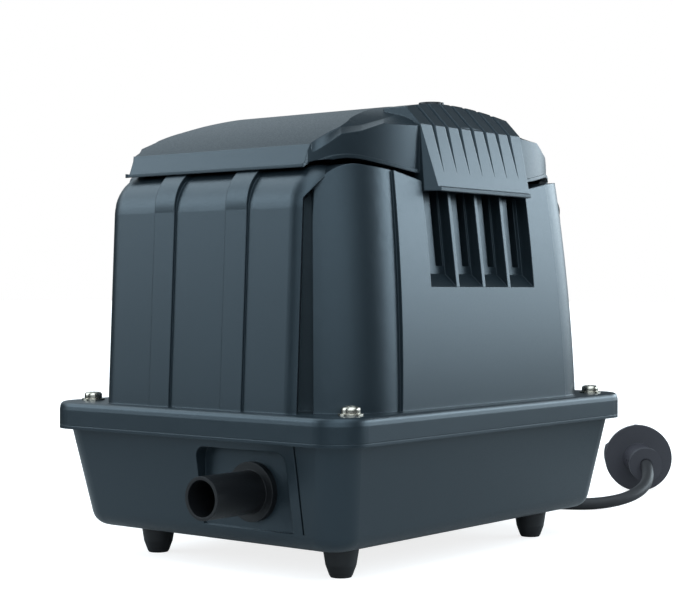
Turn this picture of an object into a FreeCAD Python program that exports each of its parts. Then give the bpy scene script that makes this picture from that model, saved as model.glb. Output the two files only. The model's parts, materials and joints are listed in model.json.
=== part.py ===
"""Linear diaphragm air pump for ponds: casing, filter lid, compressor, outlet and mains lead.

Millimetres, +Z up.  The origin is on the ground under the middle of the pump.
X runs across the pump, Y along it, and the outlet nozzle points to -Y.
Lengths in this file are first written about the middle of the casing; every
sub-part is then placed casing_shift further along +Y, because the nozzle
stands out past the rim at one end only.
"""
import FreeCAD, Part
import math
import os
import Sketcher
from FreeCAD import Placement, Rotation, Vector

DIMENSIONS = {
    "casing_shift": 10,
    # rim where the two housings meet
    "rim_half_x": 87, "rim_half_y": 113.5, "rim_corner": 16, "rim_low": 58, "rim_parting": 59.5,
    "rim_high": 70, "rim_plate_low": 66.5, "rim_skirt_wall": 3, "rim_edge_round": 2.2,
    "upstand_gap": 0.35, "upstand_wall": 2.8, "upstand_high": 64.5, "gasket_width": 2.4,
    # lower housing
    "tub_top_half_x": 82, "tub_top_half_y": 108.7, "tub_foot_half_x": 74.4, "tub_foot_half_y": 101.2,
    "tub_corner": 13, "tub_low": 13.8, "tub_round": 8, "tub_wall": 2.5, "tub_floor": 3,
    "tub_boss_radius": 5, "tub_boss_low": 50,
    # flat pad that carries the outlet, and the pad of the cord's strain relief
    "pad_low_x": 2, "pad_high_x": 52, "pad_low_z": 21, "pad_high_z": 54.5, "pad_face_y": 101.5,
    "pad_back_y": 97.5, "pad_corner": 5, "groove_x": 57, "groove_width": 0.9, "groove_deep": 1.3,
    "relief_x": 45, "relief_z": 30, "relief_pad_half": 12, "relief_pad_y": 107,
    # outlet nozzle
    "nozzle_x": 30, "nozzle_z": 36.7, "nozzle_radius": 9, "nozzle_wall": 1.5,
    "nozzle_reach": 133.5, "nozzle_flange_radius": 12.5, "nozzle_flange": 3,
    "nozzle_tail_radius": 8, "nozzle_tail": 90, "nozzle_hole_gap": 0.1,
    # feet
    "foot_x": 54, "foot_y": 74, "foot_height": 13.8, "foot_top_radius": 8, "foot_tip_radius": 4.4,
    "foot_belly_radius": 6.6, "foot_belly_height": 5.2, "foot_heel_radius": 5, "foot_heel_height": 0.9,
    # upper cover: end blocks
    "block_half_x_low": 78.2, "block_half_x_mid": 75.6, "block_half_x_high": 69.3,
    "block_half_y_low": 102, "block_half_y_mid": 100.3, "block_half_y_high": 98,
    "block_mid": 116, "block_high": 174, "block_corner_low": 36,
    "block_corner_mid": 36, "block_corner_high": 37, "block_top": 172.7, "cover_wall": 2.8,
    # arched top of the end blocks, from the corner to the middle
    "arch_foot_y": 99.5, "arch_foot_z": 100, "arch_spring_y": 92.7, "arch_spring_z": 158.5,
    "arch_bend_y": 88.5, "arch_bend_z": 168.5, "arch_crown_y": 78.5, "arch_side_y": 61,
    "arch_side_z": 170.9, "arch_end_y": 41, "arch_end_z": 167.2,
    # upright channel between saddle and end block, measured across and along a diagonal
    "channel_diagonal": 38.9, "channel_left_low": -22.5, "channel_left_high": -19.9,
    "channel_right_low": -15.8, "channel_right_high": -16.4, "channel_floor": -99,
    "channel_mouth": -140, "channel_top": 158, "channel_wall": 2.5, "shoulder_right": 40,
    "shoulder_left": -2.6, "shoulder_top": 176,
    # upper cover: saddle across the middle
    "saddle_half_x": 59.5, "saddle_round": 10, "saddle_half_y_low": 106,
    "saddle_half_y_high": 102, "saddle_crease": 154, "saddle_top": 173, "saddle_top_half_y": 84,
    "saddle_bulge_y": 97.2, "saddle_bulge_z": 166.2,
    "band_low_x": 15, "band_high_x": 27, "band_height": 1, "band_swell": 1.4,
    # upper cover: end panels and grilles
    "panel_x_low": 79.7, "panel_x_mid": 77, "panel_x_high": 71, "panel_mid": 121, "panel_high": 171.5,
    "panel_half_low": 65, "panel_half_high": 60,
    "grille_half": 41, "grille_low": 121.8, "grille_back_x": 66, "grille_back_low_x": 71,
    "grille_wall": 2.5,
    "grille_sill": 6, "fin_pitch": 20.4, "fin_thick": 2.2, "fin_top": 166, "fin_set_back": 0.4,
    "slot_low": 131, "slot_high": 164, "slot_width": 5.4, "slot_offset": 5.3,
    "deck_thick": 3.2, "deck_step": 163, "deck_step_x": 52, "deck_hole_half_x": 34.3,
    "deck_hole_half_y": 76.3,
    # hollow under the cover: half lengths at its steps, going up
    "hollow_corner": 28, "hollow_y_mid": 96, "hollow_y_crease": 95, "hollow_y_step_low": 84,
    "hollow_y_step_high": 82, "hollow_y_top": 80,
    # screws that hold the cover down
    "screw_x": 75.5, "screw_y": 94.5, "screw_radius": 2, "screw_head_radius": 4, "screw_head": 2.9,
    "screw_round": 1.4, "screw_low": 58.5, "screw_gap": 0.2, "washer_radius": 5.2, "washer": 0.8,
    "recess_half_length": 2.2, "recess_half_width": 0.45, "recess_depth": 1.5,
    # filter lid
    "lid_half_y": 95.2, "lid_low": 170.8, "lid_bead_half_y": 96.2, "lid_bead_top": 172.3,
    "lid_crease_half_y": 91.6, "lid_crease": 180.6, "lid_crest": 204.1, "lid_wall": 2.5,
    "lid_half_x": 51.4, "lid_end_x": 69.3, "lid_side_x": 62.7, "lid_side_y": 71, "lid_end_y": 42,
    "lid_corner_y": 92.5, "lid_bead_out": 0.8, "lid_bead_height": 1.7, "lid_clearance": 0.3,
    "lid_wall_run": 1.2, "lid_wall_drop": 1.44,
    "hood_half": 39.5, "hood_back_x": 66.4, "hood_front_low_x": 77.2, "hood_front_high_x": 69.9,
    "hood_low": 163, "hood_lip": 1.6, "hood_lip_out": 1.2, "hood_bend": 192, "hood_top_x": 57.5,
    "hood_top": 204, "hood_wall": 2, "hood_corner_x": 72, "hood_corner_y": 34.8,
    "far_hood_drop": 3.4,
    "groove_pitch": 9.9, "groove_half": 1.7, "groove_depth": 3.2, "groove_end": 170.5,
    "knob_x": 47.5, "knob_radius": 5.8, "knob_low": 202.4, "knob_top": 205.9, "knob_shank": 2.5,
    "knob_shank_low": 162, "knob_gap": 0.07, "knob_slot_half": 0.6, "knob_slot_depth": 1.2,
    "boss_radius": 5, "boss_low": 159,
    "seal_half_x": 42, "seal_half_y": 82.5, "seal_width": 3, "seal_height": 2, "seal_corner": 6,
    # filter tray and foam
    "tray_half_x": 34, "tray_half_y": 76, "tray_low": 153, "tray_wall": 2, "tray_flange": 3,
    "tray_flange_thick": 1.5, "tray_slot_half": 3, "foam_gap": 0.5, "foam_top": 172,
    # compressor frame
    "axis_z": 88, "base_half_x": 48, "base_half_y": 60, "base_low": 40, "base_thick": 3,
    "mount_x": 38, "mount_y": 52, "mount_radius": 8,
    "bracket_half": 36, "bracket_y": 40.8, "bracket_thick": 4, "bracket_hole": 24,
    "saddle_post": 8, "core_back_x": 46, "core_face_x": 12, "core_yoke": 8, "core_half_y": 30,
    "core_half_z": 18, "pole_half": 6, "outer_pole": 8,
    "bobbin_wall": 1.2, "bobbin_low_x": 16, "bobbin_high_x": 37, "bobbin_half_y": 20,
    "bobbin_half_z": 31, "winding_inset": 1.5, "coil_gap": 0.2,
    # oscillating armature
    "shaft_radius": 3, "shaft_half": 54, "carrier_half_x": 9.8, "carrier_half_y": 32,
    "carrier_half_z": 14, "magnet_low_y": 10, "magnet_high_y": 26, "magnet_half_z": 11,
    "clamp_radius": 16, "clamp_thick": 2, "nut_radius": 5.5, "nut_thick": 4,
    "diaphragm_radius": 30, "diaphragm_thick": 2.4,
    # pump heads
    "head_half": 36, "head_depth": 15.2, "chamber_radius": 28, "chamber_depth": 13.2,
    "port_radius": 4, "port_offset": 14, "flap_radius": 6, "flap_thick": 0.6,
    "flap_bead": 0.5, "flap_bead_gap": 0.05, "flap_bead_half": 3,
    "cover_half": 30, "cover_half_x": 25, "cover_depth": 18, "cover_rim": 4, "mouth_radius": 5,
    "rib_half": 3, "head_screw_radius": 2, "head_screw_head": 3.5, "head_screw_cap": 3,
    "head_screw_offset": 32,
    "spigot_radius": 4, "spigot_bore": 2.6, "spigot_y": 69.2, "spigot_reach": 6,
    # air chamber and hoses
    "tank_low_x": -24, "tank_high_x": 56, "tank_low_y": -94, "tank_high_y": -64, "tank_low_z": 17.2,
    "tank_high_z": 49, "tank_wall": 3, "hose_radius": 6, "hose_bore": 4.02, "hose_low_z": 28,
    "hose_bend": 18, "hose_seat": 1,
    # terminal block
    "terminal_low_x": 20, "terminal_high_x": 50, "terminal_low_y": 78, "terminal_high_y": 88,
    "terminal_low_z": 17, "terminal_high_z": 29, "terminal_pitch": 10, "terminal_screw": 1.8,
    # mains lead
    "cord_radius": 3.25, "relief_length": 27, "relief_base_radius": 7, "relief_tip_radius": 4.8,
    "relief_collar_radius": 9, "relief_collar": 3, "relief_neck_radius": 5.5, "relief_tail": 12,
    "coil_x": -87.5, "coil_y": 209, "coil_radius": 36, "coil_turn_step": 6.5,
    # plug
    "plug_neck_length": 38, "plug_neck_tip": 6.4, "plug_neck_base": 9, "plug_collar_radius": 9.6,
    "plug_collar": 5, "plug_flange_radius": 19.7, "plug_flange": 4.6, "plug_body_radius": 18.2,
    "plug_body": 22, "neck_slot_start": 6, "neck_slot_pitch": 5.2, "neck_slot_width": 1.8,
    "neck_slot_out": 7.4, "neck_slot_half": 5, "neck_slot_deep": 2.6, "plug_side_cut": 14.6,
    "plug_key_depth": 4, "plug_key_half": 4.2,
    "pin_radius": 2.4, "pin_length": 19, "pin_offset": 9.5, "pin_root": 6, "pin_round": 1.6,
    "contact_half": 2.6, "contact_thick": 0.8, "contact_length": 16,
}

doc = FreeCAD.newDocument("air_pump")
sheet = doc.addObject("Spreadsheet::Sheet", "dim")
for row, (alias, number) in enumerate(DIMENSIONS.items(), start=1):
    sheet.set("A%d" % row, alias)
    sheet.set("B%d" % row, str(number))
    sheet.setAlias("B%d" % row, alias)
doc.recompute()

NODES = []
OWN_Y = {}


def d(alias):
    """A driving dimension, read back from the sheet."""
    return float(sheet.get(alias))


# ---------------------------------------------------------------- bound primitives

def sub_part(label, thing):
    """Name a finished sub-part and shift it from the casing's middle to the pump's origin."""
    own = OWN_Y.get(thing.Name, "0")
    thing.setExpression("Placement.Base.y", "%s + dim.casing_shift" % own)
    thing.Label = label
    NODES.append(thing)
    return thing


def put(thing, x, y, z):
    """Bind a primitive's place to the sheet."""
    thing.setExpression("Placement.Base.x", x)
    thing.setExpression("Placement.Base.y", y)
    thing.setExpression("Placement.Base.z", z)
    OWN_Y[thing.Name] = "(%s)" % y
    return thing


def block(name, low, high):
    """A box between two corners, each given as three sheet expressions."""
    box = doc.addObject("Part::Box", name)
    for size, a, b in zip(("Length", "Width", "Height"), low, high):
        box.setExpression(size, "(%s) - (%s)" % (b, a))
    return put(box, *low)


def rod(name, radius, length, at, along="z"):
    """A cylinder from the point `at`, along +z, +y or +x."""
    cylinder = doc.addObject("Part::Cylinder", name)
    cylinder.setExpression("Radius", radius)
    cylinder.setExpression("Height", length)
    if along == "y":
        cylinder.Placement = Placement(Vector(), Rotation(Vector(1, 0, 0), -90))
    if along == "x":
        cylinder.Placement = Placement(Vector(), Rotation(Vector(0, 1, 0), 90))
    return put(cylinder, *at)


def fuse(name, *things):
    result = doc.addObject("Part::MultiFuse", name)
    result.Shapes = list(things)
    return result


def cut(name, base, *tools):
    result = doc.addObject("Part::Cut", name)
    result.Base = base
    result.Tool = tools[0] if len(tools) == 1 else fuse(name + "_tools", *tools)
    return result


def group(name, *things):
    """Separate solids kept together in one sub-part, as a set of like fasteners is."""
    result = doc.addObject("Part::Compound", name)
    result.Links = list(things)
    return result


def formed(name, shape):
    """A shape made with Part's own functions, for drafted and crowned mouldings."""
    feature = doc.addObject("Part::Feature", name)
    feature.Shape = shape
    return feature


def turned(name, outline):
    """A revolved body; the outline is a list of (radius alias, height alias), None on an axis."""
    body = doc.addObject("PartDesign::Body", name)
    sketch = body.newObject("Sketcher::SketchObject", name + "_outline")
    plane = [f for f in body.Origin.OriginFeatures if f.Role == "XZ_Plane"][0]
    sketch.AttachmentSupport = [(plane, "")]
    sketch.MapMode = "FlatFace"
    spots = [Vector(d(r) if r else 0, d(z) if z else 0, 0) for r, z in outline]
    for i, spot in enumerate(spots):
        sketch.addGeometry(Part.LineSegment(spot, spots[(i + 1) % len(spots)]), False)
    for i in range(len(spots)):
        sketch.addConstraint(Sketcher.Constraint("Coincident", i, 2, (i + 1) % len(spots), 1))
    for i, (radius, height) in enumerate(outline):
        for kind, alias, axis in (("DistanceX", radius, -2), ("DistanceY", height, -1)):
            if alias:
                index = sketch.addConstraint(Sketcher.Constraint(kind, -1, 1, i, 1, d(alias)))
                sketch.setExpression("Constraints[%d]" % index, "dim.%s" % alias)
            else:
                sketch.addConstraint(Sketcher.Constraint("PointOnObject", i, 1, axis))
    revolution = body.newObject("PartDesign::Revolution", name + "_turn")
    revolution.Profile = sketch
    revolution.ReferenceAxis = (sketch, ["V_Axis"])
    revolution.Angle = 360
    return body


# ---------------------------------------------------------------- shape functions

def rounded_rectangle(half_x, half_y, corner, level):
    """A closed wire: a rectangle with round corners at one height."""
    edges = []
    k = corner * math.sqrt(0.5)
    for sx, sy, first in ((1, 1, "y"), (-1, 1, "x"), (-1, -1, "y"), (1, -1, "x")):
        cx, cy = sx * (half_x - corner), sy * (half_y - corner)
        on_x = Vector(sx * half_x, cy, level)
        on_y = Vector(cx, sy * half_y, level)
        start, end = (on_x, on_y) if first == "y" else (on_y, on_x)
        middle = Vector(cx + sx * k, cy + sy * k, level)
        if edges:
            edges.append(Part.LineSegment(last, start).toShape())
        else:
            opening = start
        edges.append(Part.Arc(start, middle, end).toShape())
        last = end
    edges.append(Part.LineSegment(last, opening).toShape())
    return Part.Wire(edges)


def drafted(levels, corner):
    """A solid through rounded rectangles given as (height, half x, half y)."""
    wires = [rounded_rectangle(hx, hy, corner, z) for z, hx, hy in levels]
    solids = [Part.makeLoft(list(pair), True, True) for pair in zip(wires, wires[1:])]
    result = solids[0]
    for solid in solids[1:]:
        result = result.fuse(solid)
    return result


def smooth_block(levels):
    """A solid that curves through rounded rectangles given as (height, half x, half y, corner)."""
    return Part.makeLoft([rounded_rectangle(hx, hy, corner, z) for z, hx, hy, corner in levels],
                         True, False)


def prism(edges, direction):
    """Extrude a closed chain of edges both ways along a direction."""
    face = Part.Face(Part.Wire(edges))
    face.translate(direction * -1)
    return face.extrude(direction * 2)


def on_plane(point, plane):
    """A flat point as a Vector in the plane "xy", "xz" or "yz"."""
    a, b = point
    if plane == "xy":
        return Vector(a, b, 0)
    if plane == "xz":
        return Vector(a, 0, b)
    return Vector(0, a, b)


def chain(points, plane):
    """Edges through flat points; a triple ("arc", through, end) bends to its end."""
    edges = []
    here = on_plane(points[0], plane)
    for step in points[1:] + [points[0]]:
        if step[0] == "arc":
            middle = on_plane(step[1], plane)
            end = on_plane(step[2], plane)
            edges.append(Part.Arc(here, middle, end).toShape())
        else:
            end = on_plane(step, plane)
            if (end - here).Length > 1e-6:
                edges.append(Part.LineSegment(here, end).toShape())
        here = end
    return edges


def mirrored_y(points):
    """Close a YZ profile that is drawn from its foot on the +Y side up to its middle."""
    ends = [step[2] if step[0] == "arc" else step for step in points]
    other = [(-ends[-1][0], ends[-1][1])]
    for step, start in zip(points[:0:-1], ends[-2::-1]):
        flipped = (-start[0], start[1])
        if step[0] == "arc":
            flipped = ("arc", (-step[1][0], step[1][1]), flipped)
        other.append(flipped)
    return points + other


def cuboid(low, high):
    size = [b - a for a, b in zip(low, high)]
    return Part.makeBox(*size, Vector(*low))


def both_ends(shape):
    """A shape and its mirror image at the other end of the X axis."""
    return shape.fuse(shape.mirror(Vector(), Vector(1, 0, 0)))


def four_corners(shape):
    """A shape and its mirror images, one at each corner of the casing."""
    pair = [shape, shape.mirror(Vector(), Vector(0, 1, 0))]
    return pair + [piece.mirror(Vector(), Vector(1, 0, 0)) for piece in pair]


# ---------------------------------------------------------------- lower housing

def rim_ring(low, high, outer_inset, wall):
    """An upright ring that follows the casing's rim, drawn in by `outer_inset`."""
    inset = outer_inset + wall
    outer = drafted([(low, d("rim_half_x") - outer_inset, d("rim_half_y") - outer_inset),
                     (high, d("rim_half_x") - outer_inset, d("rim_half_y") - outer_inset)],
                    d("rim_corner") - outer_inset)
    inner = drafted([(low - 1, d("rim_half_x") - inset, d("rim_half_y") - inset),
                     (high + 1, d("rim_half_x") - inset, d("rim_half_y") - inset)],
                    d("rim_corner") - inset)
    return outer.cut(inner)


def corners(x, y):
    return [(sx * x, sy * y) for sx in (-1, 1) for sy in (-1, 1)]


def make_lower_housing():
    low, high = d("tub_low"), d("rim_low")
    wall = d("tub_wall")
    outer = drafted([(low, d("tub_foot_half_x"), d("tub_foot_half_y")),
                     (high, d("tub_top_half_x"), d("tub_top_half_y"))], d("tub_corner"))
    bottom = [e for e in outer.Edges if e.BoundBox.ZMax < low + 0.1]
    outer = outer.makeFillet(d("tub_round"), bottom)
    boss_low = d("tub_boss_low")
    bosses = [Part.makeCylinder(d("tub_boss_radius"), high - boss_low, Vector(x, y, boss_low))
              for x, y in corners(d("screw_x"), d("screw_y"))]
    inner_bosses = Part.makeCompound(bosses).common(outer)
    pad = cuboid((d("pad_low_x") - 3, -d("rim_half_y"), d("pad_low_z") - 3),
                 (d("groove_x") + 3, -d("pad_back_y"), d("pad_high_z") + 3)).common(outer)
    relief_half = d("relief_pad_half")
    relief_pad = cuboid((-d("relief_x") - relief_half, 96, d("relief_z") - relief_half + 2),
                        (-d("relief_x") + relief_half, d("relief_pad_y"), d("relief_z") + relief_half))
    slope = (d("tub_top_half_x") - d("tub_foot_half_x")) / (high - low)
    rise = d("tub_floor")
    inner = drafted([(low + rise, d("tub_foot_half_x") - wall + slope * rise,
                      d("tub_foot_half_y") - wall + slope * rise),
                     (high + 5, d("tub_top_half_x") - wall + slope * 5,
                      d("tub_top_half_y") - wall + slope * 5)], d("tub_corner") - wall)
    inner = inner.cut(pad).cut(relief_pad).cut(inner_bosses)
    shell = outer.fuse([pad, relief_pad]).cut(inner)
    # the pad's flat face is cut back into the sloping wall above it
    left, right, foot, head = d("pad_low_x"), d("pad_high_x"), d("pad_low_z"), d("pad_high_z")
    corner = d("pad_corner")
    cut_in = 0.29 * corner
    relief = prism(chain([(left, foot), (right, foot), (right, head - corner),
                          ("arc", (right - cut_in, head - cut_in), (right - corner, head)),
                          (left + corner, head),
                          ("arc", (left + cut_in, head - cut_in), (left, head - corner))], "xz"),
                   Vector(0, 10, 0))
    relief.translate(Vector(0, -d("pad_face_y") - 10, 0))
    side_groove = cuboid((d("groove_x"), -d("rim_half_y"), d("pad_low_z")),
                         (d("groove_x") + d("groove_width"), -d("pad_back_y") - 2, high + 1))
    slope_y = (d("tub_top_half_y") - d("tub_foot_half_y")) / (high - low)
    core_foot = d("tub_foot_half_y") - d("groove_deep")
    core = prism(chain([(-core_foot, low), (-core_foot - slope_y * (high + 1 - low), high + 1),
                        (0, high + 1), (0, low)], "yz"), Vector(100, 0, 0))
    shell = shell.cut([relief, side_groove.cut(core)])
    ring = rim_ring(d("rim_low"), d("rim_parting"), 0, d("rim_half_x") - d("tub_top_half_x") + wall)
    upstand = rim_ring(d("rim_parting"), d("upstand_high"), d("rim_skirt_wall") + d("upstand_gap"),
                       d("upstand_wall"))
    tops = [Part.makeCylinder(d("tub_boss_radius"), d("rim_plate_low") - high, Vector(x, y, high))
            for x, y in corners(d("screw_x"), d("screw_y"))]
    shell = shell.fuse([ring, upstand] + tops)
    holes = [Part.makeCylinder(d("screw_radius") + 0.02, 40, Vector(x, y, d("screw_low") - 1))
             for x, y in corners(d("screw_x"), d("screw_y"))]
    outlet = Part.makeCylinder(d("nozzle_tail_radius") + d("nozzle_hole_gap"), 20,
                               Vector(d("nozzle_x"), -110, d("nozzle_z")), Vector(0, 1, 0))
    entry = Part.makeCylinder(d("relief_neck_radius") + 0.05, 20,
                              Vector(-d("relief_x"), 90, d("relief_z")), Vector(0, 1, 0))
    shell = shell.cut(Part.makeCompound(holes)).cut(outlet).cut(entry)
    return shell.removeSplitter()


# ---------------------------------------------------------------- upper cover

def saddle_form(extra, half_x):
    """The saddle across the casing, `extra` proud of its own faces."""
    swell = extra * d("band_swell")
    right = [(d("saddle_half_y_low") + extra, d("rim_high") - 2),
             (d("saddle_half_y_high") + extra, d("saddle_crease")),
             ("arc", (d("saddle_bulge_y") + swell, d("saddle_bulge_z") + swell),
              (d("saddle_top_half_y"), d("saddle_top") + extra))]
    return prism(chain(mirrored_y(right), "yz"), Vector(half_x, 0, 0))


def rounded_saddle():
    half_x = d("saddle_half_x")
    form = saddle_form(0, half_x)
    ends = [edge for edge in form.Edges
            if abs(abs(edge.CenterOfMass.x) - half_x) < 0.01 and edge.BoundBox.ZMax > d("rim_high")]
    return form.makeFillet(d("saddle_round"), ends)


def cover_arch():
    """The end blocks' top, as seen from the ends: an arch each side, lower between them."""
    right = [(d("rim_half_y"), d("rim_low")), (d("arch_foot_y"), d("arch_foot_z")),
             (d("arch_spring_y"), d("arch_spring_z")),
             ("arc", (d("arch_bend_y"), d("arch_bend_z")), (d("arch_crown_y"), d("block_top"))),
             (d("arch_side_y"), d("arch_side_z")), (d("arch_end_y"), d("arch_end_z"))]
    return prism(chain(mirrored_y(right), "yz"), Vector(100, 0, 0))


def diagonal(across, along, level):
    """A point of the +X -Y corner, told across and along its diagonal."""
    turn = math.radians(d("channel_diagonal"))
    return Vector(across * math.cos(turn) - along * math.sin(turn),
                  across * math.sin(turn) + along * math.cos(turn), level)


def corner_wedge(levels, floor):
    """A wedge out along the +X -Y diagonal from `floor`, through levels (height, left, right)."""
    mouth = d("channel_mouth")
    loops = []
    for level, left, right in levels:
        spots = [diagonal(left, mouth, level), diagonal(right, mouth, level),
                 diagonal(right, floor, level), diagonal(left, floor, level)]
        loops.append(Part.makePolygon(spots + spots[:1]))
    return Part.makeLoft(loops, True, True)


def channel(low, wall):
    """The upright slot in the end block from the height `low`, made larger by `wall`."""
    high = d("block_high") + 2
    return corner_wedge([(low, d("channel_left_low") - wall, d("channel_right_low") + wall),
                         (high, d("channel_left_high") - wall, d("channel_right_high") + wall)],
                        d("channel_floor") + wall)


def shoulder_cut():
    """What is open beside the slot at the saddle's corner, and above the slot along its shoulder."""
    right, top = d("shoulder_right"), d("channel_top")
    beside = corner_wedge([(d("rim_high"), d("channel_left_low"), right),
                           (top, d("channel_left_high"), right)], d("channel_floor"))
    above = corner_wedge([(top, d("channel_left_high"), right),
                          (d("shoulder_top"), d("shoulder_left"), right)], d("channel_floor"))
    return beside.fuse(above)


def end_block_form():
    plan = smooth_block([(d("rim_high") - 2, d("block_half_x_low"), d("block_half_y_low"),
                          d("block_corner_low")),
                         (d("block_mid"), d("block_half_x_mid"), d("block_half_y_mid"),
                          d("block_corner_mid")),
                         (d("block_high"), d("block_half_x_high"), d("block_half_y_high"),
                          d("block_corner_high"))])
    return plan.fuse(both_ends(end_panel())).common(cover_arch())


def end_panel():
    """The raised, bowed panel at the +X end."""
    outline = chain([(60, d("rim_high") - 2), (d("panel_x_low"), d("rim_high") - 2),
                     ("arc", (d("panel_x_mid"), d("panel_mid")), (d("panel_x_high"), d("panel_high"))),
                     (60, d("panel_high"))], "xz")
    face = chain([(d("panel_half_low"), d("rim_high") - 2), (d("panel_half_high"), d("panel_high")),
                  (-d("panel_half_high"), d("panel_high")), (-d("panel_half_low"), d("rim_high") - 2)],
                 "yz")
    return prism(outline, Vector(0, 80, 0)).common(prism(face, Vector(100, 0, 0)))


def grille_fins():
    """Sill and three fins of the +X grille, put back after its recess is cut."""
    back, low, half = d("grille_back_x"), d("grille_low"), d("grille_half")
    face = d("panel_x_mid") - d("fin_set_back")
    sill_back = d("grille_back_low_x") - 1
    sill = prism(chain([(sill_back, low), (face, low), (sill_back, low + d("grille_sill"))], "xz"),
                 Vector(0, half, 0))
    top_face = d("panel_x_high") + 0.1
    pieces = [sill]
    for i in (-1, 0, 1):
        fin = prism(chain([(back, low), (face, low), (top_face, d("fin_top")), (back, d("fin_top"))],
                          "xz"), Vector(0, d("fin_thick") / 2, 0))
        fin.translate(Vector(0, i * d("fin_pitch"), 0))
        pieces.append(fin)
    return pieces


def make_upper_cover():
    saddle = rounded_saddle()
    for wedge in four_corners(shoulder_cut()):
        saddle = saddle.cut(wedge)
    blocks = end_block_form()
    for slot in four_corners(channel(d("rim_high"), 0)):
        blocks = blocks.cut(slot)
    solid = blocks.fuse(saddle)
    centre = (d("band_low_x") + d("band_high_x")) / 2
    half = (d("band_high_x") - d("band_low_x")) / 2
    deck_half = d("saddle_top_half_y")
    above_deck = cuboid((-60, -deck_half, d("saddle_top")), (60, deck_half, 190))
    for sign in (-1, 1):
        band = saddle_form(d("band_height"), half).cut(above_deck)
        band.translate(Vector(sign * centre, 0, 0))
        solid = solid.fuse(band)
    recess = prism(chain([(d("grille_back_low_x"), d("grille_low")), (95, d("grille_low")), (95, 190),
                          (d("grille_back_x"), 190), (d("grille_back_x"), d("fin_top"))], "xz"),
                   Vector(0, d("grille_half"), 0))
    solid = solid.cut(both_ends(recess))
    fins = grille_fins()
    solid = solid.fuse([both_ends(piece) for piece in fins])
    # hollow inside: steps, so that the wall follows the outside
    wall = d("cover_wall")
    inner_x = d("grille_back_x") - d("grille_wall")
    hollow = drafted([(d("rim_plate_low") - 1, d("block_half_x_low") - wall,
                       d("block_half_y_low") - wall),
                      (d("block_mid"), d("block_half_x_mid") - wall, d("block_half_y_mid") - wall)],
                     d("block_corner_low") - wall)
    steps = [(inner_x, d("block_mid"), d("hollow_y_mid"), d("saddle_crease"), d("hollow_y_crease")),
             (inner_x, d("saddle_crease"), d("hollow_y_step_low"), d("deck_step"),
              d("hollow_y_step_high")),
             (d("deck_step_x"), d("deck_step"), d("hollow_y_step_high"),
              d("saddle_top") - d("deck_thick"), d("hollow_y_top"))]
    rooms = [drafted([(low - 1, half_x, low_y), (high, half_x, high_y)], d("hollow_corner"))
             for half_x, low, low_y, high, high_y in steps]
    hollow = hollow.fuse(rooms)
    for walls in four_corners(channel(d("rim_plate_low") - 1, d("channel_wall"))):
        hollow = hollow.cut(walls)
    flange = drafted([(d("rim_plate_low"), d("rim_half_x"), d("rim_half_y")),
                      (d("rim_high"), d("rim_half_x") - 0.4, d("rim_half_y") - 0.4)], d("rim_corner"))
    skirt = rim_ring(d("rim_parting"), d("rim_plate_low"), 0, d("rim_skirt_wall"))
    top_edges = [e for e in flange.Edges if e.BoundBox.ZMin > d("rim_high") - 0.1]
    flange = flange.makeFillet(d("rim_edge_round"), top_edges)
    solid = solid.cut(cuboid((-100, -120, 40), (100, 120, d("rim_plate_low"))))
    solid = solid.fuse([flange, skirt]).cut(hollow)
    boss = Part.makeCylinder(d("boss_radius"), d("block_top") - d("boss_low"),
                             Vector(d("knob_x"), 0, d("boss_low")))
    solid = solid.fuse(boss)
    deck_hole = cuboid((-d("deck_hole_half_x"), -d("deck_hole_half_y"), d("saddle_crease")),
                       (d("deck_hole_half_x"), d("deck_hole_half_y"), 190))
    tools = [deck_hole, Part.makeCylinder(d("knob_shank") + d("knob_gap"), 40,
                                          Vector(d("knob_x"), 0, d("knob_shank_low") - 1))]
    for i in range(4):
        centre_y = (i - 1.5) * d("fin_pitch") + d("slot_offset")
        for sign in (-1, 1):
            tools.append(cuboid((sign * 67 - 6, centre_y - d("slot_width") / 2, d("slot_low")),
                                (sign * 67 + 6, centre_y + d("slot_width") / 2, d("slot_high"))))
    for x, y in corners(d("screw_x"), d("screw_y")):
        tools.append(Part.makeCylinder(d("screw_radius") + d("screw_gap"), 20, Vector(x, y, 60)))
    solid = solid.cut(Part.makeCompound(tools))
    return solid.removeSplitter()


# ---------------------------------------------------------------- filter lid

# lines of the +X end of the lid, from its -Y corner to its middle: where the roof's end facet
# starts (carried on above the roof), its eave, and the foot of the slope below it (carried on
# past the cheek)
ROOF_LINE = [(47, -91.6, 186), (48, -74, 195), (48.4, -63.3, 194), (42.9, -53.2, 197.8),
             (38.7, -31, 202.2), (37.4, -12, 204), (37.4, 0, 204.3)]
EAVE_LINE = [(51.2, -91.6, 180.9), (54, -74, 188.8), (55.5, -62, 190.5), (56.5, -48, 194.2),
             (57.5, -31, 199.3), (57.5, -12, 203), (57.5, 0, 203.5)]
SLOPE_LINE = [(52.9, -90.8, 175.8), (60.2, -81.3, 184.3), (64.6, -73.7, 186), (68.9, -63.6, 189.8),
              (73, -47.3, 188.3), (73.6, -12, 188.7), (73.6, 0, 189.2)]
# lower edge of the lid's cheek, as seen from the end
EDGE_LINE = [(-96.5, 170.8), (-91.7, 171.3), (-85, 173.9), (-76, 175.2), (-65, 173.9),
             (-49.2, 171.5), (-40.9, 170.4)]


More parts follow.
